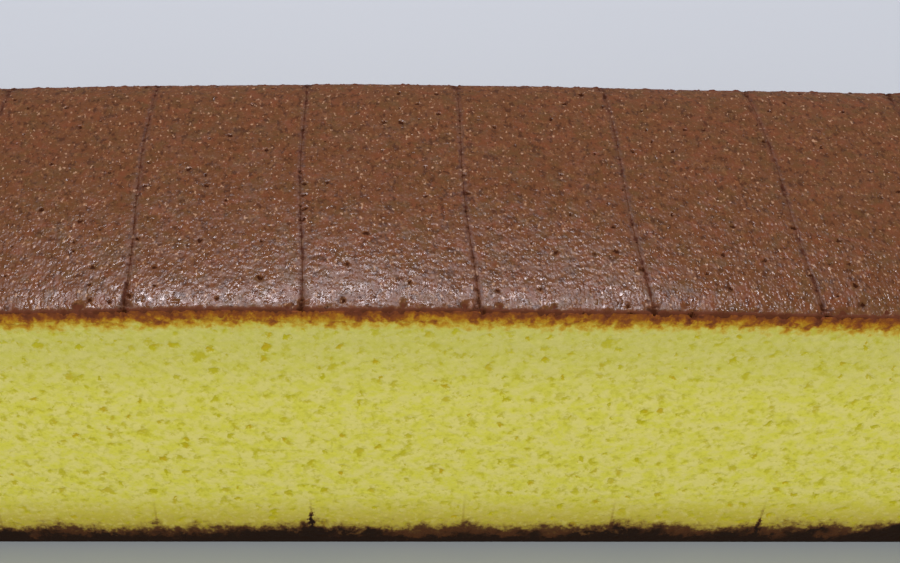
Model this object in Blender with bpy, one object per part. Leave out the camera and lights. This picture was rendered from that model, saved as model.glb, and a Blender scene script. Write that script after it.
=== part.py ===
"""A long castella sponge loaf, trimmed on all four sides and sliced ready to serve.

The loaf lies along X and stands on its flat base crust at z = 0, centred on the origin.
Every slice is a closed solid of its own. The slices stand pressed together in the shape
of the whole loaf, a knife's width apart, and each cut drifts a little as a hand-held
knife does. The browned top crust rounds over a proud rim along the trimmed sides.
"""
import math

import bmesh
import bpy

MM = 0.001

# Driving dimensions of the loaf.
SLICE_COUNT = 10
SLICE_THICKNESS = 27.5 * MM
LOAF_DEPTH = 61.0 * MM
LOAF_HEIGHT = 61.0 * MM
LOAF_LENGTH = SLICE_COUNT * SLICE_THICKNESS

# The knife's path: the gap it leaves, and how far a cut drifts along, down and across the loaf.
KNIFE_GAP = 0.3 * MM
PITCH_DRIFT = 0.45 * MM
PITCH_DRIFT_CUTS = 6.0
LEAN = 0.75 * MM
LEAN_CUTS = 6.2
WANDER = 0.4 * MM
WANDER_LENGTH = 58.0 * MM
WANDER_TURN_PER_CUT = 0.6

# The baked top: highest a little left of the middle, lower towards both ends and along its edges,
# and lowest along the front, where it slopes from beyond the middle and again close to the edge.
CREST_X = -27.0 * MM
CREST_FALL = 1.3 * MM
CREST_HALF_WAVE = 150.0 * MM
CROSS_CROWN = 0.25 * MM
EDGE_FALL = 0.7 * MM
EDGE_FALL_WIDTH = 8.5 * MM
FRONT_FALL = 1.55 * MM
FRONT_FALL_WIDTH = 34.0 * MM
FRONT_EDGE_FALL = 0.25 * MM
FRONT_EDGE_FALL_WIDTH = 6.0 * MM
SURFACE_WAVE = 0.12 * MM
SURFACE_WAVE_X = 9.0 * MM
SURFACE_WAVE_Y = 7.0 * MM
SURFACE_WAVE_SKEW = 23.0 * MM
CUT_EDGE_DIP = 0.25 * MM

# The crusts and the trimmed faces.
TOP_CRUST = 2.0 * MM
BASE_CRUST = 3.0 * MM
RIM_RADIUS = 1.2 * MM
RIM_PROUD = 0.2 * MM
RIM_UNDERCUT = 1.2 * MM
FOOT_TUCK = 0.3 * MM
FOOT_HEIGHT = 10.0 * MM

# A quarter round is drawn by four facets, so its middle stations stand at tan(22.5 degrees).
QUARTER_ROUND_STEP = math.tan(math.radians(22.5))

# Where the top is divided across the loaf, in from each long edge, and the angle that reads as an edge.
TOP_STATIONS = (EDGE_FALL_WIDTH, 19.5 * MM)
SHARP_ANGLE = math.radians(40.0)

NAME = "castella_sponge_cake"
CRUMB, TOP, BASE = range(3)


def clear_scene():
    for scene_object in list(bpy.data.objects):
        bpy.data.objects.remove(scene_object, do_unlink=True)


def smooth(value):
    """Ease from 0 to 1 without a corner at either end."""
    value = min(max(value, 0.0), 1.0)
    return value * value * (3.0 - 2.0 * value)


def plain_material(name, colour, roughness):
    material = bpy.data.materials.new(name)
    material.use_nodes = True
    shader = material.node_tree.nodes["Principled BSDF"]
    shader.inputs["Base Color"].default_value = (*colour, 1.0)
    shader.inputs["Roughness"].default_value = roughness
    shader.inputs["Metallic"].default_value = 0.0
    return material


def cut_offset(cut, y, z):
    """How far a cut strays from its even spacing at a point of its face."""
    step = cut - SLICE_COUNT / 2
    spacing = PITCH_DRIFT * (math.cos(2 * math.pi * (step - 0.5) / PITCH_DRIFT_CUTS) - 0.2)
    lean = LEAN * (math.cos(2 * math.pi * (step + 1.5) / LEAN_CUTS) + 0.6) * (1.0 - z / LOAF_HEIGHT)
    wander = WANDER * math.sin(2 * math.pi * y / WANDER_LENGTH + WANDER_TURN_PER_CUT * (step - 2))
    return spacing + lean + wander


def cut_position(cut, y, z):
    """X of the middle of the gap that a cut leaves, cuts counted from the left end."""
    return (cut - SLICE_COUNT / 2) * SLICE_THICKNESS + cut_offset(cut, y, z)


def edge_fall(distance, amount, width):
    """The top's fall at a distance in from a trimmed edge: the amount there, and none beyond the width."""
    return amount * min(max(1.0 - distance / width, 0.0), 1.0) ** 2


def top_drop(x, y):
    """How far the baked top lies below the loaf's greatest height."""
    along = CREST_FALL * (1.0 - math.cos(math.pi * (x - CREST_X) / CREST_HALF_WAVE))
    across = CROSS_CROWN * (2 * y / LOAF_DEPTH) ** 2
    from_front = LOAF_DEPTH / 2 + y
    front = edge_fall(from_front, FRONT_FALL, FRONT_FALL_WIDTH)
    front += edge_fall(from_front, FRONT_EDGE_FALL, FRONT_EDGE_FALL_WIDTH)
    back = edge_fall(LOAF_DEPTH / 2 - y, EDGE_FALL, EDGE_FALL_WIDTH)
    ends = edge_fall(LOAF_LENGTH / 2 - abs(x), EDGE_FALL, EDGE_FALL_WIDTH)
    across_wave = math.cos(y / SURFACE_WAVE_Y + x / SURFACE_WAVE_SKEW)
    wave = SURFACE_WAVE * (1.0 - math.sin(x / SURFACE_WAVE_X) * across_wave)
    return along + across + front + back + ends + wave


def side_recess(z):
    """How far a trimmed face lies behind the proud rim of the top crust."""
    under_rim = RIM_PROUD * smooth((LOAF_HEIGHT - TOP_CRUST - z) / RIM_UNDERCUT)
    foot = FOOT_TUCK * max(1.0 - z / FOOT_HEIGHT, 0.0) ** 2
    return under_rim + foot


def rounded(along, up, half_width):
    """Turn the square corner between a trimmed face and the top into a quarter round."""
    over = abs(along) - (half_width - RIM_RADIUS)
    above = up - (LOAF_HEIGHT - RIM_RADIUS)
    if over <= 0.0 or above <= 0.0:
        return along, up
    shrink = max(over, above) / math.hypot(over, above)
    new_along = math.copysign(half_width - RIM_RADIUS + over * shrink, along)
    return new_along, LOAF_HEIGHT - RIM_RADIUS + above * shrink


def edge_stations(half_width, *inner):
    """Stations across a width: the two quarter rounds and chosen distances in from each edge."""
    insets = (RIM_RADIUS * (1.0 - QUARTER_ROUND_STEP), RIM_RADIUS, *inner)
    left = [inset - half_width for inset in insets]
    return left + [0.0] + [-station for station in reversed(left)]


def height_stations():
    """Heights of the base crust, the foot, the crumb, the rim's undercut and its quarter round."""
    rim = LOAF_HEIGHT - TOP_CRUST
    crumb = [FOOT_HEIGHT + (rim - RIM_UNDERCUT - FOOT_HEIGHT) * part / 3 for part in range(4)]
    corner = [LOAF_HEIGHT - RIM_RADIUS, LOAF_HEIGHT - RIM_RADIUS * (1.0 - QUARTER_ROUND_STEP)]
    return [BASE_CRUST, *crumb, rim, *corner]


def slice_grid(blank):
    """Divide the faces of a slice's blank by planes at the stations along X, Y and Z."""
    stations = {
        (1, 0, 0): edge_stations(SLICE_THICKNESS / 2),
        (0, 1, 0): edge_stations(LOAF_DEPTH / 2, *TOP_STATIONS),
        (0, 0, 1): height_stations(),
    }
    for normal, values in stations.items():
        for value in values:
            geometry = blank.verts[:] + blank.edges[:] + blank.faces[:]
            point = tuple(value * part for part in normal)
            bmesh.ops.bisect_plane(blank, geom=geometry, dist=1e-7, plane_co=point, plane_no=normal)


def slice_faces(number, y, z):
    """X of the left and right faces of a slice at one point of its section."""
    trimmed_end = LOAF_LENGTH / 2 - side_recess(z)
    left = -trimmed_end
    right = trimmed_end
    if number > 1:
        left = cut_position(number - 1, y, z) + KNIFE_GAP / 2
    if number < SLICE_COUNT:
        right = cut_position(number, y, z) - KNIFE_GAP / 2
    return left, right


def shape_vertex(vertex, number):
    """Move one point of a blank to its place in slice number, counted from 1 at the left end."""
    x = vertex.co.x
    y, z = rounded(vertex.co.y, vertex.co.z, LOAF_DEPTH / 2)
    from_cut = SLICE_THICKNESS / 2 - abs(x)
    trimmed_end = (number == 1 and x < 0) or (number == SLICE_COUNT and x > 0)
    if trimmed_end:
        x, z = rounded(x, z, SLICE_THICKNESS / 2)
    y *= 1.0 - side_recess(z) / (LOAF_DEPTH / 2)
    left, right = slice_faces(number, y, z)
    x = left + (right - left) * (x / SLICE_THICKNESS + 0.5)
    drop = top_drop(x, y)
    if not trimmed_end:
        drop += CUT_EDGE_DIP * max(1.0 - from_cut / RIM_RADIUS, 0.0) ** 2
    vertex.co = (x, y, z - drop * z / LOAF_HEIGHT)


def paint_crusts(mesh_data):
    """Give the top crust, the base crust and the crumb between them their materials."""
    for face in mesh_data.faces:
        centre = face.calc_center_median()
        if centre.z < BASE_CRUST:
            face.material_index = BASE
        elif centre.z > LOAF_HEIGHT - TOP_CRUST - top_drop(centre.x, centre.y):
            face.material_index = TOP
        else:
            face.material_index = CRUMB


def make_slice(number, collection, materials):
    blank = bmesh.new()
    bmesh.ops.create_cube(blank, size=1.0)
    bmesh.ops.scale(blank, vec=(SLICE_THICKNESS, LOAF_DEPTH, LOAF_HEIGHT), verts=blank.verts)
    bmesh.ops.translate(blank, vec=(0.0, 0.0, LOAF_HEIGHT / 2), verts=blank.verts)
    slice_grid(blank)
    for vertex in blank.verts:
        shape_vertex(vertex, number)
    paint_crusts(blank)
    name = f"slice_{number:02d}"
    mesh = bpy.data.meshes.new(name)
    blank.to_mesh(mesh)
    blank.free()
    for material in materials:
        mesh.materials.append(material)
    mesh.shade_smooth()
    mesh.set_sharp_from_angle(angle=SHARP_ANGLE)
    piece = bpy.data.objects.new(name, mesh)
    collection.objects.link(piece)
    return piece


def main():
    clear_scene()
    collection = bpy.data.collections.new(NAME)
    bpy.context.scene.collection.children.link(collection)
    materials = [
        plain_material("yellow_crumb", (0.62, 0.50, 0.11), 0.75),
        plain_material("brown_top_crust", (0.19, 0.07, 0.03), 0.45),
        plain_material("dark_base_crust", (0.03, 0.015, 0.008), 0.6),
    ]
    for number in range(1, SLICE_COUNT + 1):
        make_slice(number, collection, materials)


main()
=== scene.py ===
"""The looks of a long castella sponge loaf, sliced and standing together.

Every slice becomes one closed mesh: yellow crumb with stretched pores on the trimmed faces,
a brown leathery crust on top and a thin dark crust below. The pores, the grain of the crust
and the torn lips of the cuts are shaped by Geometry Nodes; colour and gloss follow in the
materials. Lengths are metres here, and millimetres within the node trees.
"""
import math

import bpy
import numpy as np
from bpy.props import FloatProperty, FloatVectorProperty, PointerProperty
from mathutils import Matrix, Vector


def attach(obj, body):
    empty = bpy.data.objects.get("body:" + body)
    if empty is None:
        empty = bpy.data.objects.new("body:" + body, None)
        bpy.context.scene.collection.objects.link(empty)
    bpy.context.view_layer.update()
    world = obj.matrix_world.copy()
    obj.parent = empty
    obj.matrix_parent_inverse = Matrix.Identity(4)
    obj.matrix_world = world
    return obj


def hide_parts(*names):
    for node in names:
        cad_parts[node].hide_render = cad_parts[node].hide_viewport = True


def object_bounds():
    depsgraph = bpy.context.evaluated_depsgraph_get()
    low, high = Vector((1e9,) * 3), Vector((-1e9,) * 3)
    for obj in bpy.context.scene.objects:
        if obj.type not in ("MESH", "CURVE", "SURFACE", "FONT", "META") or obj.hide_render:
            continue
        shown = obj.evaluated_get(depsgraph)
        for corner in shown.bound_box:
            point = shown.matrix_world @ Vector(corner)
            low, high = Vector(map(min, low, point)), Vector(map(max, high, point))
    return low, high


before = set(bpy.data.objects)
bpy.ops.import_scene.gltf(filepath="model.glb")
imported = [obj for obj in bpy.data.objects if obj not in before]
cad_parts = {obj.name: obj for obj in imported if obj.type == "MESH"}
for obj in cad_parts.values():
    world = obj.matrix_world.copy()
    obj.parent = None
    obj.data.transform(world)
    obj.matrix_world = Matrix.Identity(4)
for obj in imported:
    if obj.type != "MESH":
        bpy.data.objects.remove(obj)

bl_info = {
    "name": "Castella Loaf",
    "version": (1, 0, 0),
    "blender": (4, 5, 0),
    "location": "View3D > Sidebar > Castella",
    "description": "Bakes the looks of a sliced castella sponge loaf around its solid frame",
    "category": "Object",
}

MM = 0.001
CAD_LOW, CAD_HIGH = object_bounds()
SLICES = sorted(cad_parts)
SLICE_COUNT = len(SLICES)
LOAF_LENGTH = CAD_HIGH.x - CAD_LOW.x
LOAF_DEPTH = CAD_HIGH.y - CAD_LOW.y
LOAF_HEIGHT = 61.0 * MM
SLICE_THICKNESS = LOAF_LENGTH / SLICE_COUNT

# Names of the attributes that the slices carry from their making to their materials.
PUSH = "push"
UNDER_TOP = "under_top"
KNIFE = "knife"
BAKE_MAP = "OFBake"

# Shifts the pores of the crumb and the pits of the crust along the loaf, in millimetres.
PATTERN_SEED = 7.0

# The knife's drift from one cut to the next, the same as the solids have.
PITCH_DRIFT = 0.45 * MM
PITCH_DRIFT_CUTS = 6.0
LEAN = 0.75 * MM
LEAN_CUTS = 6.2
WANDER = 0.4 * MM
WANDER_LENGTH = 58.0 * MM
WANDER_TURN_PER_CUT = 0.6

# The baked top, the same as the solids have: its crown, its falls towards the edges, its soft wave.
CREST_X = -27.0 * MM
CREST_FALL = 1.3 * MM
CREST_HALF_WAVE = 150.0 * MM
CROSS_CROWN = 0.25 * MM
EDGE_FALL = 0.7 * MM
EDGE_FALL_WIDTH = 8.5 * MM
FRONT_FALL = 1.55 * MM
FRONT_FALL_WIDTH = 34.0 * MM
FRONT_EDGE_FALL = 0.25 * MM
FRONT_EDGE_FALL_WIDTH = 6.0 * MM
SURFACE_WAVE = 0.12 * MM
SURFACE_WAVE_X = 9.0 * MM
SURFACE_WAVE_Y = 7.0 * MM
SURFACE_WAVE_SKEW = 23.0 * MM

# The trimmed faces, the same as the solids have.
TOP_CRUST = 2.0 * MM
RIM_PROUD = 0.2 * MM
RIM_UNDERCUT = 1.2 * MM
FOOT_TUCK = 0.3 * MM
FOOT_HEIGHT = 10.0 * MM

# The lips of the cuts, how far below the top a cut starts to open, and over what height it does.
CUT_LIP = 0.05 * MM
CUT_LIP_WIDTH = 0.6 * MM
CUT_OPENS_FROM = 3.5 * MM
CUT_OPENS_OVER = 3.0 * MM

# How finely a slice is drawn: close rows beside a cut, coarser ones behind and below, and the margin
# round the grid of a face between two slices.
ROWS_BESIDE_CUT = (0.0, 0.1 * MM, 0.22 * MM, 0.36 * MM)
FIRST_EVEN_ROW = 0.55 * MM
BACK_COARSER = 1.3
UNDER_COARSER = 4.0
FACE_MARGIN = 0.6 * MM

# How far up, or down, a point of the rim has to face to count as crust.
CRUST_FACES_UP = 0.675

# Depths that the crust's faults reach, in the node trees' millimetres.
PIT_DEPTH = 0.45
TORN_DEPTH = 0.2
FRAYED_DEPTH = 0.06
NIBBLE_DEPTH = 0.8
NIBBLE_HEIGHT = 2.6

# Where along the loaf a cut dragged the dark base upwards, in the node trees' millimetres.
DRAGGED_CUT_SHIFT = 26.0
DRAGGED_CUT_SPACING = 84.0

# The bake map: the room between two patches, and the scale of a patch that is never seen.
PATCH_MARGIN = 2.0 * MM
HIDDEN_PATCH_SCALE = 0.4

# The stage: three small lamps above and behind, a broad soft one in front, all aimed at one point.
FLOOR_SIZE = 6.0
LAMP_AIM = (0.0, -0.03, 0.05)
LAMP_AZIMUTHS = {"left": -26.0, "middle": -3.0, "right": 24.0}
LAMP_RISE = 59.0
LAMP_DISTANCE = 1.0
LAMP_SIZE = (0.07, 0.09)
LAMP_TINT = (0.97, 0.92, 1.0)
FILL_RISE = 32.0
FILL_DISTANCE = 2.2
FILL_SIZE = (3.2, 2.0)
FILL_TINT = (1.0, 0.99, 0.97)

# The camera looks down at the loaf from the front; angles are in degrees.
CAMERA_PLACE = (-0.0220, -0.1930, 0.2107)
CAMERA_TURN = 0.30
CAMERA_DIP = 41.91
CAMERA_ROLL = -0.22
CAMERA_LENS = 56.92
CAMERA_SHIFT = 0.134

# Colours within the crumb, the crusts and the edges between them; some stand for painted sheen, painted shade
# or painted glints, as said where each is used.
PAINTED_SHEEN_CRUMB = (0.510, 0.478, 0.130)
BROWNED_SHADED_FOOT_CRUMB = (0.470, 0.375, 0.048)
SHADED_CRUMB = (0.500, 0.462, 0.040)
BRIGHT_CRUMB = (0.680, 0.615, 0.190)
AMBER_PORE_SHADE = (0.490, 0.345, 0.008)
BROWNING = (
    (-1.2, (0.125, 0.033, 0.013)), (0.05, (0.185, 0.050, 0.014)), (0.95, (0.238, 0.072, 0.012)),
    (1.7, (0.325, 0.116, 0.010)), (2.75, (0.455, 0.246, 0.014)), (3.85, (0.540, 0.400, 0.050)))
CUT_SHADE_LINE = (0.330, 0.230, 0.030)
SINGED_BASE = (0.072, 0.026, 0.009)
SCORCHED_CRUMB = (0.090, 0.038, 0.012)
TOASTED_CRUMB = (0.230, 0.140, 0.026)
WARM_SKIN = (0.150, 0.044, 0.0160)
DULL_SKIN = (0.098, 0.046, 0.0135)
DARK_SPECK = (0.050, 0.015, 0.005)
LIGHT_SPECK = (0.235, 0.105, 0.040)
SUGAR_AND_GLINT_SPECK = (0.420, 0.250, 0.150)
SHADED_TRIMMED_SKIN = (0.102, 0.029, 0.012)
SEAM_SHADE = (0.052, 0.012, 0.005)
OPENED_SHADE = (0.036, 0.008, 0.001)
WARM_BASE = (0.060, 0.026, 0.014)
DULL_BASE = (0.014, 0.008, 0.006)


# ---------------------------------------------------------------- settings


class CastellaShape(bpy.types.PropertyGroup):
    """How the loaf was baked, trimmed and cut."""

    grid: FloatProperty(
        name="Surface Grid", description="Spacing of the points on the trimmed faces and the top",
        default=0.25 * MM, min=0.1 * MM, unit="LENGTH", precision=5)
    hidden_grid: FloatProperty(
        name="Inner Grid", description="Spacing of the points on faces between two slices",
        default=0.8 * MM, min=0.2 * MM, unit="LENGTH", precision=5)
    end_grid: FloatProperty(
        name="End Grid", description="Spacing of the points on the loaf's two end slices",
        default=0.33 * MM, min=0.1 * MM, unit="LENGTH", precision=5)
    rim_radius: FloatProperty(
        name="Rim Radius", description="Rounding where the top crust turns over its trimmed edge",
        default=0.22 * MM, unit="LENGTH", precision=5)
    cut_gap: FloatProperty(
        name="Cut Gap", description="Width of a knife cut where it opens in the top crust",
        default=0.02 * MM, unit="LENGTH", precision=5)


class CastellaCrumb(bpy.types.PropertyGroup):
    """The yellow sponge on the trimmed faces."""

    colour: FloatVectorProperty(
        name="Crumb", description="Paler colour of the open crumb", subtype="COLOR", size=3,
        default=(0.703, 0.633, 0.174), min=0, max=1)
    lush_colour: FloatVectorProperty(
        name="Lush Crumb", description="Deeper colour of the closer crumb", subtype="COLOR", size=3,
        default=(0.651, 0.608, 0.074), min=0, max=1)
    # The colour inside the pores is painted shade.
    pore_shade_colour: FloatVectorProperty(
        name="Hollows", description="Deep colour inside the pores", subtype="COLOR", size=3,
        default=(0.470, 0.420, 0.010), min=0, max=1)
    pore_spacing: FloatProperty(
        name="Pore Spacing", description="Usual distance between two of the larger pores",
        default=3.0 * MM, unit="LENGTH", precision=5)
    pore_depth: FloatProperty(
        name="Pore Depth", description="Depth of a full pore",
        default=0.22 * MM, unit="LENGTH", precision=5)
    roughness_height: FloatProperty(
        name="Crumb Roughness", description="Height of the crumb's soft unevenness",
        default=0.12 * MM, unit="LENGTH", precision=5)


class CastellaCrust(bpy.types.PropertyGroup):
    """The browned top and the dark base."""

    colour: FloatVectorProperty(
        name="Top Crust", description="Colour of the baked top", subtype="COLOR", size=3,
        default=(0.119, 0.0420, 0.0138), min=0, max=1)
    base_colour: FloatVectorProperty(
        name="Base Crust", description="Colour of the dark base crust", subtype="COLOR", size=3,
        default=(0.016, 0.007, 0.0035), min=0, max=1)
    base_thickness: FloatProperty(
        name="Base Thickness", description="Height of the dark base crust",
        default=3.7 * MM, unit="LENGTH", precision=5)
    grain_height: FloatProperty(
        name="Grain Height", description="Height of the leathery grain on top",
        default=0.05 * MM, unit="LENGTH", precision=5)


class CastellaStage(bpy.types.PropertyGroup):
    """Floor, light and camera."""

    floor_colour: FloatVectorProperty(
        name="Floor", description="Colour of the plain floor", subtype="COLOR", size=3,
        default=(0.462, 0.497, 0.527), min=0, max=1)
    sky: FloatProperty(
        name="Surrounding Light", description="Strength of the even light from all round",
        default=0.30, min=0)
    lamp_power: FloatProperty(
        name="Lamp Power", description="Power of the three small lamps above and behind the loaf together",
        default=8.2, min=0, unit="POWER")
    fill_power: FloatProperty(
        name="Fill Power", description="Power of the broad soft light before the loaf",
        default=40.0, min=0, unit="POWER")


# ---------------------------------------------------------------- the loaf's form


def cut_offset(cut, y, z):
    """How far a cut strays from its even spacing at a point of its face."""
    step = cut - SLICE_COUNT / 2
    spacing = PITCH_DRIFT * (math.cos(2 * math.pi * (step - 0.5) / PITCH_DRIFT_CUTS) - 0.2)
    lean = LEAN * (math.cos(2 * math.pi * (step + 1.5) / LEAN_CUTS) + 0.6) * (1.0 - z / LOAF_HEIGHT)
    wander = WANDER * np.sin(2 * math.pi * y / WANDER_LENGTH + WANDER_TURN_PER_CUT * (step - 2))
    return spacing + lean + wander


def cut_position(cut, y, z):
    """X of a cut at a point of its face, cuts counted from the left end."""
    return (cut - SLICE_COUNT / 2) * SLICE_THICKNESS + cut_offset(cut, y, z)


def edge_fall(distance, amount, width):
    """The top's fall at a distance in from a trimmed edge: the amount there, and none beyond the width."""
    return amount * np.clip(1.0 - distance / width, 0.0, 1.0) ** 2


def top_drop(x, y):
    """How far the baked top lies below the loaf's greatest height."""
    along = CREST_FALL * (1.0 - np.cos(math.pi * (x - CREST_X) / CREST_HALF_WAVE))
    across = CROSS_CROWN * (2 * y / LOAF_DEPTH) ** 2
    from_front = LOAF_DEPTH / 2 + y
    front = edge_fall(from_front, FRONT_FALL, FRONT_FALL_WIDTH)
    front += edge_fall(from_front, FRONT_EDGE_FALL, FRONT_EDGE_FALL_WIDTH)
    back = edge_fall(LOAF_DEPTH / 2 - y, EDGE_FALL, EDGE_FALL_WIDTH)
    ends = edge_fall(LOAF_LENGTH / 2 - np.abs(x), EDGE_FALL, EDGE_FALL_WIDTH)
    across_wave = np.cos(y / SURFACE_WAVE_Y + x / SURFACE_WAVE_SKEW)
    wave = SURFACE_WAVE * (1.0 - np.sin(x / SURFACE_WAVE_X) * across_wave)
    return along + across + front + back + ends + wave


def smooth(value):
    """Ease from 0 to 1 without a corner at either end."""
    value = np.clip(value, 0.0, 1.0)
    return value * value * (3.0 - 2.0 * value)


def side_recess(z):
    """How far a trimmed face lies behind the proud rim of the top crust."""
    under_rim = RIM_PROUD * smooth((LOAF_HEIGHT - TOP_CRUST - z) / RIM_UNDERCUT)
    foot = FOOT_TUCK * np.clip(1.0 - z / FOOT_HEIGHT, 0.0, 1.0) ** 2
    return under_rim + foot


def spaced(start, end, step):
    """Even points from start to end, both included, no further apart than step."""
    count = max(int(math.ceil(abs(end - start) / step)), 1)
    return np.linspace(start, end, count + 1)


def section_outline(step, radius):
    """The loaf's section as a closed ring, from the front foot up, over the top and back under.

    Each row is y, z and the outward way there; the second result names each point's stretch."""
    half = LOAF_DEPTH / 2
    turn = np.linspace(0.0, math.pi / 2, 4)
    front = spaced(0.0, LOAF_HEIGHT - radius, step)
    across = spaced(radius - half, half - radius, step)
    back = spaced(LOAF_HEIGHT - radius, 0.0, step * BACK_COARSER)
    under = spaced(half, -half, step * UNDER_COARSER)
    rise = LOAF_HEIGHT - radius + radius * np.sin(turn)
    reach = half - radius + radius * np.cos(turn)
    stretches = (
        ("front", [(-half, z, -1.0, 0.0) for z in front]),
        ("top", [(-y, z, -math.cos(a), math.sin(a)) for y, z, a in zip(reach, rise, turn)][1:]),
        ("top", [(y, LOAF_HEIGHT, 0.0, 1.0) for y in across[1:]]),
        ("top", [(y, z, math.cos(a), math.sin(a)) for y, z, a in zip(reach, rise, turn)][-2::-1]),
        ("back", [(half, z, 1.0, 0.0) for z in back[1:]]),
        ("under", [(y, 0.0, 0.0, -1.0) for y in under[1:-1]]),
    )
    ring = np.array([point for _, points in stretches for point in points])
    names = [name for name, points in stretches for _ in points]
    return ring, names


def way_round(y, z, half_depth, low, high):
    """Place of loop points on a count of 0 to 4: up the front, over the top, down the back, under."""
    up = (z - low) / (high - low)
    over = (y + half_depth) / (2 * half_depth)
    from_side = half_depth - np.abs(y)
    way = np.where(high - z <= from_side, 1.0 + over, np.where(over < 0.5, up, 3.0 - up))
    tiny = 1e-6
    return np.where((up <= tiny) & (from_side > tiny), 4.0 - over, way)


def zip_loops(outer, outer_way, inner, inner_way):
    """Triangles between two closed loops that run the same way round, matched by their places."""
    outer_next = np.append(outer_way[1:], 4.0)
    inner_next = np.append(inner_way[1:], 4.0)
    faces = []
    i = 0
    j = 0
    while i < len(outer) or j < len(inner):
        a = outer[i % len(outer)]
        b = inner[j % len(inner)]
        if j == len(inner) or (i < len(outer) and outer_next[i] <= inner_next[j]):
            i += 1
            faces.append((a, outer[i % len(outer)], b))
        else:
            j += 1
            faces.append((a, inner[j % len(inner)], b))
    return np.array(faces)


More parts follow.
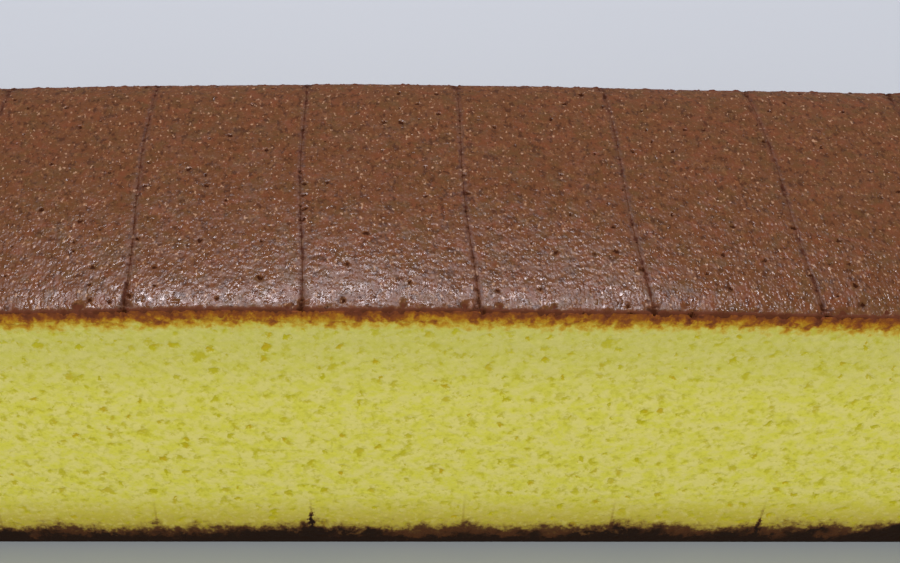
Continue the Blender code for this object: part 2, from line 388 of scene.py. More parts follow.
class SliceForm:
    """One slice before its relief is worked: its points, what they carry, and its faces."""

    def __init__(self, number, shape):
        self.number = number
        self.shape = shape
        self.is_first = number == 1
        self.is_last = number == SLICE_COUNT
        self.step = shape.end_grid if self.is_first or self.is_last else shape.grid
        self.points = []
        self.carried = {PUSH: [], UNDER_TOP: [], KNIFE: []}
        self.count = 0
        self.quads = []
        self.triangles = []
        self.seam = []

    def broad_faces(self, y, z):
        """X of the slice's left and right faces at points of its section."""
        lip = smooth((z - LOAF_HEIGHT + CUT_OPENS_FROM) / CUT_OPENS_OVER)
        opening = self.shape.cut_gap / 2 * lip
        end = LOAF_LENGTH / 2 - side_recess(z)
        left = -end if self.is_first else cut_position(self.number - 1, y, z) + opening
        right = end if self.is_last else cut_position(self.number, y, z) - opening
        return left, right

    def add_points(self, share, y, z, push):
        """Add points at shares of the slice's thickness and places in its section; gives their numbers."""
        share, y, z = np.broadcast_arrays(share, y, z)
        y = y * (1.0 - side_recess(z) / (LOAF_DEPTH / 2))
        left, right = self.broad_faces(y, z)
        x = left + (right - left) * share
        from_left = share * SLICE_THICKNESS + self.is_first * LOAF_LENGTH
        from_right = (1.0 - share) * SLICE_THICKNESS + self.is_last * LOAF_LENGTH
        knife = np.minimum(from_left, from_right)
        lip = CUT_LIP * np.clip(1.0 - knife / CUT_LIP_WIDTH, 0.0, 1.0) ** 2
        height = z - (top_drop(x, y) + lip) * z / LOAF_HEIGHT
        self.points.append(np.stack([x, y, height], -1).reshape(-1, 3))
        self.carried[PUSH].append(np.broadcast_to(push, x.shape + (3,)).reshape(-1, 3))
        self.carried[UNDER_TOP].append((LOAF_HEIGHT - z).ravel())
        self.carried[KNIFE].append(knife.ravel())
        numbers = self.count + np.arange(x.size).reshape(x.shape)
        self.count += x.size
        return numbers

    def add_faces(self, faces, places):
        """Add faces of one size, with the place of every corner on the bake map."""
        kind = self.quads if faces.shape[-1] == 4 else self.triangles
        kind.append((faces.reshape(-1, faces.shape[-1]), places.reshape(-1, faces.shape[-1], 2)))

    def add_belt(self, islands):
        """The four long sides, as one belt round the section."""
        ring, names = section_outline(self.step, self.shape.rim_radius)
        near_cut = np.array(ROWS_BESIDE_CUT) / SLICE_THICKNESS
        first_even = FIRST_EVEN_ROW / SLICE_THICKNESS
        inner = spaced(first_even, 1.0 - first_even, self.step / SLICE_THICKNESS)
        share = np.concatenate([near_cut, inner, 1.0 - near_cut[::-1]])
        push = np.stack([np.zeros(len(ring)), ring[:, 2], ring[:, 3]], -1)[:, None, :]
        numbers = self.add_points(share[None, :], ring[:, 0:1], ring[:, 1:2], push)
        ahead = np.roll(numbers, -1, 0)
        faces = np.stack([numbers[:, :-1], numbers[:, 1:], ahead[:, 1:], ahead[:, :-1]], -1)
        step_ahead = np.roll(ring[:, :2], -1, 0) - ring[:, :2]
        length = np.hypot(step_ahead[:, 0], step_ahead[:, 1])
        stretch = names[1:] + ["under"]
        run = 0.0
        before = None
        places = np.zeros(faces.shape + (2,))
        for i, name in enumerate(stretch):
            if name != before:
                run = 0.0
                before = name
            island = islands[name]
            for corner, (along, end) in enumerate(((0, 0), (1, 0), (1, 1), (0, 1))):
                across = share[1:] if along else share[:-1]
                places[i, :, corner, 0] = island.x + (run + end * length[i]) * island.scale
                places[i, :, corner, 1] = island.y + across * SLICE_THICKNESS * island.scale
            run += length[i]
        self.add_faces(faces, places)
        is_side = np.abs(ring[:, 3]) < 0.5
        self.seam = np.concatenate([numbers[is_side, 0], numbers[is_side, -1]])
        return numbers, ring

    def add_broad_face(self, edge, ring, step, outward, island):
        """A broad face: a grid of its own step, zipped to the belt's edge."""
        half = LOAF_DEPTH / 2 - FACE_MARGIN
        ys = spaced(-half, half, step)
        zs = spaced(FACE_MARGIN, LOAF_HEIGHT - FACE_MARGIN, step)
        grid_y, grid_z = np.meshgrid(ys, zs, indexing="ij")
        share = 0.0 if outward < 0 else 1.0
        numbers = self.add_points(share, grid_y, grid_z, (outward, 0.0, 0.0))
        grid = np.stack([numbers[:-1, :-1], numbers[:-1, 1:], numbers[1:, 1:], numbers[1:, :-1]], -1)
        loop = np.concatenate([numbers[0, :-1], numbers[:-1, -1], numbers[-1, :0:-1], numbers[:0:-1, 0]])
        loop_y = np.concatenate([grid_y[0, :-1], grid_y[:-1, -1], grid_y[-1, :0:-1], grid_y[:0:-1, 0]])
        loop_z = np.concatenate([grid_z[0, :-1], grid_z[:-1, -1], grid_z[-1, :0:-1], grid_z[:0:-1, 0]])
        ring_way = way_round(ring[:, 0], ring[:, 1], LOAF_DEPTH / 2, 0.0, LOAF_HEIGHT)
        loop_way = way_round(loop_y, loop_z, half, FACE_MARGIN, LOAF_HEIGHT - FACE_MARGIN)
        border = zip_loops(edge, ring_way, loop, loop_way)
        flat = np.zeros((self.count, 2))
        flat[edge] = ring[:, :2]
        flat[numbers.ravel()] = np.stack([grid_y.ravel(), grid_z.ravel()], -1)
        flat = (flat + (LOAF_DEPTH / 2, 0.0)) * island.scale + (island.x, island.y)
        for faces in (grid.reshape(-1, 4), border):
            if outward > 0:
                faces = faces[:, ::-1]
            self.add_faces(faces, flat[faces])

    def keep_seams_crisp(self, mesh):
        """Mark the edges where the trimmed faces meet the broad ones, so that a pressed seam doesn't show."""
        on_seam = np.zeros(self.count, bool)
        on_seam[self.seam] = True
        ends = np.empty(2 * len(mesh.edges), np.int32)
        mesh.edges.foreach_get("vertices", ends)
        ends = ends.reshape(-1, 2)
        both = on_seam[ends].all(1) & (np.abs(ends[:, 0] - ends[:, 1]) > 1)
        crisp = mesh.attributes.new("sharp_edge", "BOOLEAN", "EDGE")
        crisp.data.foreach_set("value", both)

    def mesh(self, name):
        """The slice as a mesh, with what its points carry and its bake map."""
        mesh = bpy.data.meshes.new(name)
        quads = np.concatenate([faces for faces, _ in self.quads])
        triangles = np.concatenate([faces for faces, _ in self.triangles])
        corners = np.concatenate([quads.ravel(), triangles.ravel()])
        sizes = np.concatenate([np.full(len(quads), 4), np.full(len(triangles), 3)])
        mesh.vertices.add(self.count)
        mesh.vertices.foreach_set("co", np.concatenate(self.points).ravel())
        mesh.loops.add(len(corners))
        mesh.loops.foreach_set("vertex_index", corners)
        mesh.polygons.add(len(sizes))
        mesh.polygons.foreach_set("loop_start", np.concatenate([[0], np.cumsum(sizes)[:-1]]))
        mesh.polygons.foreach_set("use_smooth", np.ones(len(sizes), bool))
        mesh.update(calc_edges=True)
        self.keep_seams_crisp(mesh)
        for key, rows in self.carried.items():
            kind, field = ("FLOAT_VECTOR", "vector") if key == PUSH else ("FLOAT", "value")
            attribute = mesh.attributes.new(key, kind, "POINT")
            attribute.data.foreach_set(field, np.concatenate(rows).astype(np.float32).ravel())
        bake = mesh.uv_layers.new(name=BAKE_MAP)
        places = [part.reshape(-1, 2) for _, part in self.quads + self.triangles]
        bake.uv.foreach_set("vector", np.concatenate(places).astype(np.float32).ravel())
        return mesh


class Island:
    """A patch of the bake map: its corner and its scale."""

    def __init__(self, x, y, scale):
        self.x = x
        self.y = y
        self.scale = scale


def bake_islands(number):
    """Lays out a slice's bake map: the long sides in one column, the broad faces beside them."""
    margin = PATCH_MARGIN
    small = HIDDEN_PATCH_SCALE
    left_scale = 1.0 if number == 1 else small
    right_scale = 1.0 if number == SLICE_COUNT else small
    beside = LOAF_DEPTH + 2 * margin
    left_high = LOAF_HEIGHT * left_scale + margin
    right_high = LOAF_HEIGHT * right_scale + margin
    wide = beside + LOAF_DEPTH * max(left_scale, right_scale) + margin
    high = max(3 * (SLICE_THICKNESS + margin), left_high + right_high + SLICE_THICKNESS * small) + 2 * margin
    unit = 1.0 / max(wide, high)
    row = SLICE_THICKNESS + margin
    corners = {
        "front": (margin, margin, 1.0),
        "top": (margin, margin + row, 1.0),
        "back": (margin, margin + 2 * row, 1.0),
        "left": (beside, margin, left_scale),
        "right": (beside, margin + left_high, right_scale),
        "under": (beside, margin + left_high + right_high, small),
    }
    return {name: Island(x * unit, y * unit, scale * unit) for name, (x, y, scale) in corners.items()}


def slice_form(number, shape):
    """A whole slice: its belt of four long sides and its two broad faces."""
    islands = bake_islands(number)
    form = SliceForm(number, shape)
    belt, ring = form.add_belt(islands)
    left_step = shape.end_grid if form.is_first else shape.hidden_grid
    right_step = shape.end_grid if form.is_last else shape.hidden_grid
    form.add_broad_face(belt[:, 0], ring, left_step, -1.0, islands["left"])
    form.add_broad_face(belt[:, -1], ring, right_step, 1.0, islands["right"])
    return form


# ---------------------------------------------------------------- node benches


class Bench:
    """Places nodes in a tree and joins their sockets."""

    def __init__(self, tree):
        self.tree = tree
        tree.nodes.clear()

    def add(self, kind, inputs=None, **settings):
        node = self.tree.nodes.new(kind)
        for name, value in settings.items():
            setattr(node, name, value)
        for socket, value in (inputs or {}).items():
            self.feed(node.inputs[socket], value)
        node.location = (200.0 * (len(self.tree.nodes) // 6), -180.0 * (len(self.tree.nodes) % 6))
        return node

    def feed(self, socket, value):
        if isinstance(value, bpy.types.NodeSocket):
            self.tree.links.new(value, socket)
        else:
            socket.default_value = value

    def math(self, operation, *values, clamp=False):
        node = self.add("ShaderNodeMath", dict(enumerate(values)), operation=operation, use_clamp=clamp)
        return node.outputs[0]

    def plus(self, first, second):
        return self.math("ADD", first, second)

    def minus(self, first, second, clamp=False):
        return self.math("SUBTRACT", first, second, clamp=clamp)

    def times(self, first, second):
        return self.math("MULTIPLY", first, second)

    def most(self, first, second):
        return self.math("MAXIMUM", first, second)

    def shifted(self, place, way):
        return self.vector("ADD", place, way)

    def vector(self, operation, *values):
        node = self.add("ShaderNodeVectorMath", operation=operation)
        for number, value in enumerate(values):
            socket = "Scale" if operation == "SCALE" and number == 1 else number
            self.feed(node.inputs[socket], value)
        return node.outputs["Vector"]

    def join(self, x, y, z):
        return self.add("ShaderNodeCombineXYZ", {0: x, 1: y, 2: z}).outputs[0]

    def split(self, value):
        return self.add("ShaderNodeSeparateXYZ", {0: value}).outputs

    def ease(self, value, low, high, start=0.0, end=1.0):
        """A smooth ramp: start at low, end at high, and level beyond both."""
        node = self.add("ShaderNodeMapRange", interpolation_type="SMOOTHSTEP")
        for number, part in enumerate((value, low, high, start, end)):
            self.feed(node.inputs[number], part)
        return node.outputs[0]

    def blend(self, factor, first, second):
        node = self.add("ShaderNodeMix", data_type="FLOAT")
        self.feed(node.inputs[0], factor)
        self.feed(node.inputs[2], first)
        self.feed(node.inputs[3], second)
        return node.outputs[0]

    def tint(self, factor, first, second):
        node = self.add("ShaderNodeMix", data_type="RGBA")
        self.feed(node.inputs[0], factor)
        self.feed(node.inputs[6], first)
        self.feed(node.inputs[7], second)
        return node.outputs[2]

    def noise(self, place, scale, detail=2.0, roughness=0.5, output=0):
        inputs = {"Vector": place, "Scale": scale, "Detail": detail, "Roughness": roughness}
        return self.add("ShaderNodeTexNoise", inputs).outputs[output]

    def group(self, tree, inputs):
        kind = "GeometryNodeGroup" if self.tree.type == "GEOMETRY" else "ShaderNodeGroup"
        return self.add(kind, inputs, node_tree=tree).outputs

    def ramp(self, value, low, high, stops):
        """Colours at places between low and high, blended evenly."""
        share = self.math("DIVIDE", self.minus(value, low), high - low, clamp=True)
        node = self.add("ShaderNodeValToRGB", {0: share})
        elements = node.color_ramp.elements
        while len(elements) < len(stops):
            elements.new(1.0)
        for element, (at, colour) in zip(elements, stops):
            element.position = (at - low) / (high - low)
            element.color = rgba(colour)
        return node.outputs[0]

    def centred(self, value, amount):
        """A noise value moved to swing about zero by the amount each way at most."""
        swing = self.minus(self.times(value, 2.0), 1.0)
        return self.times(swing, amount)

    def attribute(self, name):
        """A value that the points carry, in a material or in a geometry tree."""
        if self.tree.type == "GEOMETRY":
            kind = "FLOAT_VECTOR" if name == PUSH else "FLOAT"
            node = self.add("GeometryNodeInputNamedAttribute", {"Name": name}, data_type=kind)
            return node.outputs["Attribute"]
        node = self.add("ShaderNodeAttribute", attribute_name=name)
        return node.outputs["Fac"]


def new_group(name, kind, inputs, outputs):
    """A node group with named sockets: (name, socket type, default) each."""
    group = bpy.data.node_groups.new(name, kind)
    for direction, sockets in (("INPUT", inputs), ("OUTPUT", outputs)):
        for label, socket_type, default in sockets:
            socket = group.interface.new_socket(label, in_out=direction, socket_type=socket_type)
            if default is not None:
                socket.default_value = default
    bench = Bench(group)
    ins = bench.add("NodeGroupInput")
    outs = bench.add("NodeGroupOutput")
    return bench, ins.outputs, outs.inputs


FLOAT = "NodeSocketFloat"
VECTOR = "NodeSocketVector"
COLOUR = "NodeSocketColor"
SHAPE = "NodeSocketGeometry"
MATERIAL = "NodeSocketMaterial"


def rgba(colour):
    return (*colour, 1.0)


# ---------------------------------------------------------------- fields shared by relief and colour


def pore_layer(kind):
    """Group: soft round hollows scattered on a loose grid, some places left empty."""
    bench, ins, outs = new_group(
        "Pore Layer", kind,
        (("Place", VECTOR, None), ("Spacing", FLOAT, 2.0), ("Share", FLOAT, 0.5),
         ("Smallest", FLOAT, 0.3), ("Largest", FLOAT, 0.6)),
        (("Hollow", FLOAT, None),))
    scale = bench.math("DIVIDE", 1.0, ins["Spacing"])
    cells = bench.add("ShaderNodeTexVoronoi", {"Vector": ins["Place"], "Scale": scale, "Randomness": 1.0},
                      voronoi_dimensions="2D")
    reach = bench.times(cells.outputs["Distance"], ins["Spacing"])
    chance = bench.split(cells.outputs["Color"])
    size = bench.blend(chance[1], ins["Smallest"], ins["Largest"])
    depth = bench.ease(reach, size, bench.times(size, 0.35))
    present = bench.math("LESS_THAN", chance[0], ins["Share"])
    strength = bench.times(present, bench.ease(chance[2], 0.0, 1.0, 0.45, 1.0))
    bench.feed(outs["Hollow"], bench.times(depth, strength))
    return bench.tree


def crumb_field(kind):
    """Group: how hollow the crumb is at a place of a trimmed face, and where it lies closer.

    The crumb sank a little as it cooled, so its closer patches are wider than high."""
    bench, ins, outs = new_group(
        "Crumb Field", kind, (("Place", VECTOR, None), ("Pore Spacing", FLOAT, 3.0)),
        (("Hollow", FLOAT, None), ("Close", FLOAT, None)))
    x, y, z = bench.split(ins["Place"])
    along = bench.plus(bench.plus(x, y), PATTERN_SEED)
    flat = bench.join(along, z, 0.0)
    bend = bench.vector("SUBTRACT", bench.noise(flat, 0.8, 4.0, 0.65, 1), (0.5, 0.5, 0.5))
    bent = bench.shifted(flat, bench.vector("SCALE", bend, 3.0))
    spacing = ins["Pore Spacing"]
    layer = pore_layer(kind)
    big = bench.group(layer, {"Place": bent, "Spacing": spacing, "Share": 0.45,
                              "Smallest": 0.35, "Largest": 1.1})[0]
    lesser = bench.group(layer, {"Place": bent, "Spacing": bench.times(spacing, 0.45),
                                 "Share": 0.32, "Smallest": 0.25, "Largest": 0.60})[0]
    valley = bench.ease(bench.noise(flat, 0.38, 3.0, 0.6), 0.46, 0.30)
    hollow = bench.most(big, bench.times(lesser, 0.55))
    bench.feed(outs["Hollow"], bench.most(hollow, bench.times(valley, 0.75)))
    lain = bench.join(bench.times(along, 0.82), bench.plus(z, 41.0), 0.0)
    bench.feed(outs["Close"], bench.ease(bench.noise(lain, 0.42, 3.0, 0.55), 0.38, 0.62))
    return bench.tree


def crust_field(kind):
    """Group: the few open pits in the baked top, and where a knife tore its lips and its trimmed edge."""
    bench, ins, outs = new_group(
        "Crust Field", kind, (("Place", VECTOR, None), ("Knife", FLOAT, 9.0)),
        (("Pit", FLOAT, None), ("Torn", FLOAT, None), ("Edge", FLOAT, None), ("Nibble", FLOAT, None)))
    x, y, _ = bench.split(ins["Place"])
    flat = bench.join(bench.plus(x, PATTERN_SEED), y, 0.0)
    bend = bench.vector("SUBTRACT", bench.noise(flat, 1.3, 4.0, 0.8, 1), (0.5, 0.5, 0.5))
    bent = bench.shifted(flat, bench.vector("SCALE", bend, 2.0))
    pits = bench.group(pore_layer(kind), {"Place": bent, "Spacing": 3.4, "Share": 0.2,
                                          "Smallest": 0.12, "Largest": 0.62})[0]
    bench.feed(outs["Pit"], pits)
    ragged = bench.noise(flat, 0.7, 4.0, 0.7)
    from_side = bench.minus(LOAF_DEPTH / 2 / MM, bench.math("ABSOLUTE", y))
    edge = bench.plus(from_side, bench.centred(ragged, 0.9))
    frayed = bench.ease(edge, 0.75, 0.35)
    bench.feed(outs["Edge"], frayed)
    # Where a cut leaves the trimmed edge, its corners crumble.
    corner = bench.times(bench.ease(ins["Knife"], 2.0, 0.2), bench.ease(edge, 4.2, 0.8))
    crumbled = bench.ease(bench.plus(ragged, bench.times(corner, 0.12)), 0.53, 0.66)
    # Small bites are missing from the front edge, where the knife left the crust, and fewer behind.
    bites = bench.ease(bench.noise(flat, 0.55, 3.0, 0.65), 0.46, 0.62)
    bites = bench.times(bites, bench.ease(edge, 0.4, -0.1))
    large = bench.ease(bench.noise(flat, 0.3, 2.0, 0.6), 0.60, 0.68, 0.0, 0.7)
    large = bench.times(large, bench.ease(edge, 2.4, 0.8))
    bench.feed(outs["Nibble"], bench.times(bench.most(bites, large), bench.ease(y, -20.0, 20.0, 1.0, 0.2)))
    lip = bench.times(crumbled, bench.most(bench.ease(ins["Knife"], 0.7, 0.1), corner))
    bench.feed(outs["Torn"], lip)
    return bench.tree


# ---------------------------------------------------------------- relief, by Geometry Nodes


def relief_tree():
    """The tree that works a slice's surface: pores, soft crumb, crust grain, torn lips."""
    bench, ins, outs = new_group(
        "Slice Relief", "GeometryNodeTree",
        (("Slice", SHAPE, None), ("Pore Spacing", FLOAT, 3.0), ("Pore Depth", FLOAT, 0.22),
         ("Crumb Roughness", FLOAT, 0.12), ("Grain Height", FLOAT, 0.05), ("Crumb", MATERIAL, None),
         ("Top Crust", MATERIAL, None), ("Base Crust", MATERIAL, None)),
        (("Slice", SHAPE, None),))
    place = bench.vector("SCALE", bench.add("GeometryNodeInputPosition").outputs[0], 1.0 / MM)
    push = bench.attribute(PUSH)
    under = bench.math("DIVIDE", bench.attribute(UNDER_TOP), MM)
    knife = bench.math("DIVIDE", bench.attribute(KNIFE), MM)
    way = bench.split(push)
    on_top = bench.ease(way[2], 0.2, 0.9)
    above_foot = bench.ease(bench.split(place)[2], 0.1, 1.5)

    hollow = bench.group(crumb_field("GeometryNodeTree"),
                         {"Place": place, "Pore Spacing": ins["Pore Spacing"]})[0]
    below_rim = bench.ease(under, 1.6, 5.0)
    sunk = bench.times(bench.times(hollow, below_rim), ins["Pore Depth"])
    soft = bench.centred(bench.noise(place, 0.55, 4.0, 0.6), ins["Crumb Roughness"])
    broad = bench.math("GREATER_THAN", bench.math("ABSOLUTE", way[0]), 0.5)
    tattered = bench.times(bench.ease(under, 3.5, 1.5), bench.blend(broad, 1.2, 0.4))
    tatters = bench.times(tattered, bench.centred(bench.noise(place, 0.6, 4.0, 0.75), 1.0))
    side_push = bench.minus(bench.plus(soft, tatters), sunk)

    x, y, _ = bench.split(place)
    leathery = bench.centred(bench.noise(bench.join(x, y, 0.0), 0.7, 1.0, 0.5), ins["Grain Height"])
    crust = bench.group(crust_field("GeometryNodeTree"), {"Place": place, "Knife": knife})
    opened = bench.plus(bench.times(crust["Pit"], PIT_DEPTH), bench.times(crust["Torn"], TORN_DEPTH))
    opened = bench.plus(opened, bench.times(crust["Edge"], FRAYED_DEPTH))
    top_push = bench.minus(leathery, opened)

    amount = bench.times(bench.blend(on_top, side_push, top_push), above_foot)
    # A broad face may only sink, so that no slice grows into its neighbour, and not close under the crust.
    inward = bench.times(bench.math("MINIMUM", amount, 0.0), bench.ease(under, 0.5, 2.8))
    amount = bench.blend(broad, amount, inward)
    nibbled = bench.times(crust["Nibble"], bench.ease(under, NIBBLE_HEIGHT, 0.2, 0.0, NIBBLE_DEPTH))
    offset = bench.vector("SUBTRACT", bench.vector("SCALE", push, amount), bench.join(0.0, 0.0, nibbled))
    offset = bench.vector("SCALE", offset, MM)
    moved = bench.add("GeometryNodeSetPosition", {"Geometry": ins["Slice"], "Offset": offset})
    whole = bench.add("GeometryNodeRealizeInstances", {"Geometry": moved.outputs[0]})
    shape = bench.add("GeometryNodeSetMaterial", {"Geometry": whole.outputs[0], "Material": ins["Crumb"]})
    for label, side in (("Top Crust", 1.0), ("Base Crust", -1.0)):
        facing = bench.math("GREATER_THAN", bench.times(way[2], side), CRUST_FACES_UP)
        shape = bench.add("GeometryNodeSetMaterial", {
            "Geometry": shape.outputs[0], "Selection": facing, "Material": ins[label]})
    bench.feed(outs["Slice"], shape.outputs[0])
    return bench.tree


def worked(source, tree, values, name):
    """Run a tree on an object and keep the result as a plain mesh in a new object."""
    modifier = source.modifiers.new("work", "NODES")
    modifier.node_group = tree
    for item in tree.interface.items_tree:
        if item.in_out == "INPUT" and item.name in values:
            modifier[item.identifier] = values[item.name]
    depsgraph = bpy.context.evaluated_depsgraph_get()
    depsgraph.update()
    mesh = bpy.data.meshes.new_from_object(source.evaluated_get(depsgraph))
    mesh.name = name
    source.modifiers.remove(modifier)
    bpy.data.objects.remove(source, do_unlink=True)
    piece = bpy.data.objects.new(name, mesh)
    bpy.context.scene.collection.objects.link(piece)
    return piece


# ---------------------------------------------------------------- materials


def fine_grain_group():
    """Group: a small height for bumps."""
    bench, ins, outs = new_group(
        "Fine Grain", "ShaderNodeTree",
        (("Place", VECTOR, None), ("Size", FLOAT, 0.5), ("Detail", FLOAT, 2.0)),
        (("Height", FLOAT, None),))
    scale = bench.math("DIVIDE", 1.0, ins["Size"])
    bench.feed(outs["Height"], bench.noise(ins["Place"], scale, ins["Detail"], 0.55))
    return bench.tree


def bead_group():
    """Group: small domes of uneven height, close together, as heights for a bump."""
    bench, ins, outs = new_group(
        "Beads", "ShaderNodeTree",
        (("Place", VECTOR, None), ("Spacing", FLOAT, 0.5)), (("Height", FLOAT, None),))
    scale = bench.math("DIVIDE", 1.0, ins["Spacing"])
    cells = bench.add("ShaderNodeTexVoronoi", {"Vector": ins["Place"], "Scale": scale, "Randomness": 0.95},
                      voronoi_dimensions="2D")
    across = bench.times(cells.outputs["Distance"], 2.0)
    dome = bench.minus(1.0, bench.times(across, across), clamp=True)
    bench.feed(outs["Height"], bench.times(dome, bench.split(cells.outputs["Color"])[0]))
    return bench.tree


def mottle_group():
    """Group: one colour broken by soft patches of a second and a third."""
    bench, ins, outs = new_group(
        "Mottle", "ShaderNodeTree",
        (("Place", VECTOR, None), ("Size", FLOAT, 3.0), ("Amount", FLOAT, 0.5),
         ("Colour", COLOUR, None), ("Warmer", COLOUR, None), ("Duller", COLOUR, None)),
        (("Colour", COLOUR, None),))
    scale = bench.math("DIVIDE", 1.0, ins["Size"])
    first = bench.noise(ins["Place"], scale, 5.0, 0.7)
    apart = bench.shifted(ins["Place"], (31.0, 17.0, 5.0))
    second = bench.noise(apart, scale, 5.0, 0.7)
    warm = bench.times(bench.ease(first, 0.45, 0.65), ins["Amount"])
    dull = bench.times(bench.ease(second, 0.45, 0.65), ins["Amount"])
    colour = bench.tint(warm, ins["Colour"], ins["Warmer"])
    bench.feed(outs["Colour"], bench.tint(dull, colour, ins["Duller"]))
    return bench.tree


def finish(name):
    """A new material with its bench, its shader's sockets, and its place in millimetres."""
    material = bpy.data.materials.new(name)
    material.use_nodes = True
    bench = Bench(material.node_tree)
    output = bench.add("ShaderNodeOutputMaterial")
    shader = bench.add("ShaderNodeBsdfPrincipled")
    bench.feed(output.inputs["Surface"], shader.outputs[0])
    place = bench.vector("SCALE", bench.add("ShaderNodeTexCoord").outputs["Object"], 1.0 / MM)
    return material, bench, shader.inputs, place


def bumped(bench, heights):
    """Fine bumps laid one over the other: (height socket, its reach in metres) each."""
    normal = None
    for height, reach in heights:
        bump = bench.add("ShaderNodeBump", {"Height": height, "Distance": reach})
        if normal is not None:
            bench.feed(bump.inputs["Normal"], normal)
        normal = bump.outputs[0]
    return normal


def grain(bench, shared, place, size, detail):
    return bench.group(shared["grain"], {"Place": place, "Size": size, "Detail": detail})[0]


def beads(bench, shared, place, spacing):
    return bench.group(shared["beads"], {"Place": place, "Spacing": spacing})[0]


def crumb_colour(bench, shared, place, under, crumb):
    """Two yellows, with painted sheen under the top, browning and painted shade near the base, and painted
    shade, some of it amber, in the hollows.
    """
    height = bench.split(place)[2]
    field = bench.group(shared["crumb"], {"Place": place, "Pore Spacing": crumb.pore_spacing / MM})
    colour = bench.tint(field["Close"], rgba(crumb.colour), rgba(crumb.lush_colour))
    # Painted sheen: the crumb just under the top crust is greyed and paled.
    colour = bench.tint(bench.ease(under, 24.0, 4.5, 0.0, 0.62), colour, rgba(PAINTED_SHEEN_CRUMB))
    # Browning and painted shade darken the crumb towards the base.
    colour = bench.tint(bench.ease(height, 15.0, 4.5, 0.0, 0.95), colour, rgba(BROWNED_SHADED_FOOT_CRUMB))
    fine = bench.noise(bench.shifted(place, (7.0, 0.0, 21.0)), 1.0, 2.0, 0.55)
    colour = bench.tint(bench.ease(fine, 0.46, 0.34, 0.0, 0.45), colour, rgba(SHADED_CRUMB))
    colour = bench.tint(bench.ease(fine, 0.54, 0.66, 0.0, 0.35), colour, rgba(BRIGHT_CRUMB))
    # The hollows are tinted with painted shade, amber in some of the deepest pores.
    ambered = bench.ease(bench.noise(place, 0.23, 1.0), 0.45, 0.60)
    deep = bench.tint(ambered, rgba(crumb.pore_shade_colour), rgba(AMBER_PORE_SHADE))
    colour = bench.tint(bench.ease(field["Hollow"], 0.0, 0.75, 0.0, 0.72), colour, rgba(crumb.pore_shade_colour))
    return bench.tint(bench.ease(field["Hollow"], 0.5, 1.0, 0.0, 0.9), colour, deep)


def browned(bench, place, under, colour):
    """The colour turned brown and amber under the top crust, down to a ragged line with lower lumps."""
    ragged = bench.centred(bench.noise(place, 0.8, 3.0, 0.65), 2.6)
    lumps = bench.ease(bench.noise(place, 0.30, 1.0), 0.57, 0.67, -0.1, 1.4)
    apart = bench.shifted(place, (5.0, 0.0, 60.0))
    scorch = bench.ease(bench.noise(apart, 0.5, 3.0, 0.6), 0.46, 0.62, -0.4, 1.1)
    lower = bench.times(bench.plus(lumps, scorch), bench.ease(under, 5.0, 2.6))
    depth = bench.minus(bench.plus(under, ragged), lower)
    return bench.tint(bench.ease(depth, 4.8, 3.4), colour, bench.ramp(depth, -1.2, 5.7, BROWNING))


def darkened_at_base(bench, place, knife, crust, colour):
    """The colour turned into the dark base crust, which is ragged and drawn up at some of the cuts, with
    painted shade along the cuts above it.
    """
    x, _, height = bench.split(place)
    spiky = bench.plus(bench.centred(bench.noise(place, 0.55, 5.0, 0.75), 3.6),
                       bench.centred(bench.noise(place, 0.15, 2.0, 0.5), 3.0))
    # Every third cut or so dragged the dark crust up with the knife.
    turns = bench.times(bench.plus(x, DRAGGED_CUT_SHIFT), 2 * math.pi / DRAGGED_CUT_SPACING)
    dragged = bench.ease(bench.math("COSINE", turns), 0.7, 1.0, 0.4, 4.0)
    astray = bench.plus(knife, bench.centred(bench.noise(place, 1.6, 3.0, 0.7), 1.2))
    tear = bench.times(bench.ease(astray, 0.7, 0.0), dragged)
    edge = bench.minus(bench.minus(height, tear), spiky)
    thick = crust.base_thickness / MM
    singed = bench.ease(bench.noise(bench.shifted(place, (0.0, 9.0, 30.0)), 0.12, 3.0, 0.6), 0.44, 0.60)
    singed = bench.tint(singed, rgba(crust.base_colour), rgba(SINGED_BASE))
    dark = bench.tint(bench.ease(edge, thick - 2.2, thick - 0.9), rgba(crust.base_colour), singed)
    dark = bench.tint(bench.ease(edge, thick - 0.4, thick + 0.5), dark, rgba(SCORCHED_CRUMB))
    dark = bench.tint(bench.ease(edge, thick + 0.4, thick + 1.7), dark, rgba(TOASTED_CRUMB))
    # A cut shows on the crumb as a faint line of painted shade, where a slice's edge recedes, fading upwards
    # from the base.
    line = bench.times(bench.ease(knife, 0.34, 0.06), bench.ease(height, 15.0, 5.0, 0.0, 0.6))
    colour = bench.tint(line, colour, rgba(CUT_SHADE_LINE))
    return bench.tint(bench.ease(edge, thick + 3.2, thick + 0.5), colour, dark)


def crumb_material(crumb, crust, shared):
    """Yellow crumb that browns through amber under the top crust and darkens into the base."""
    material, bench, shader, place = finish("sponge_crumb")
    under = bench.math("DIVIDE", bench.attribute(UNDER_TOP), MM)
    knife = bench.math("DIVIDE", bench.attribute(KNIFE), MM)
    colour = crumb_colour(bench, shared, place, under, crumb)
    colour = browned(bench, place, under, colour)
    bench.feed(shader["Base Color"], darkened_at_base(bench, place, knife, crust, colour))
    shader["Roughness"].default_value = 0.85
    bench.feed(shader["Normal"], bumped(bench, (
        (grain(bench, shared, place, 0.8, 2.0), 0.16 * MM),
        (grain(bench, shared, place, 0.3, 1.0), 0.045 * MM))))
    shader["Specular IOR Level"].default_value = 0.2
    return material


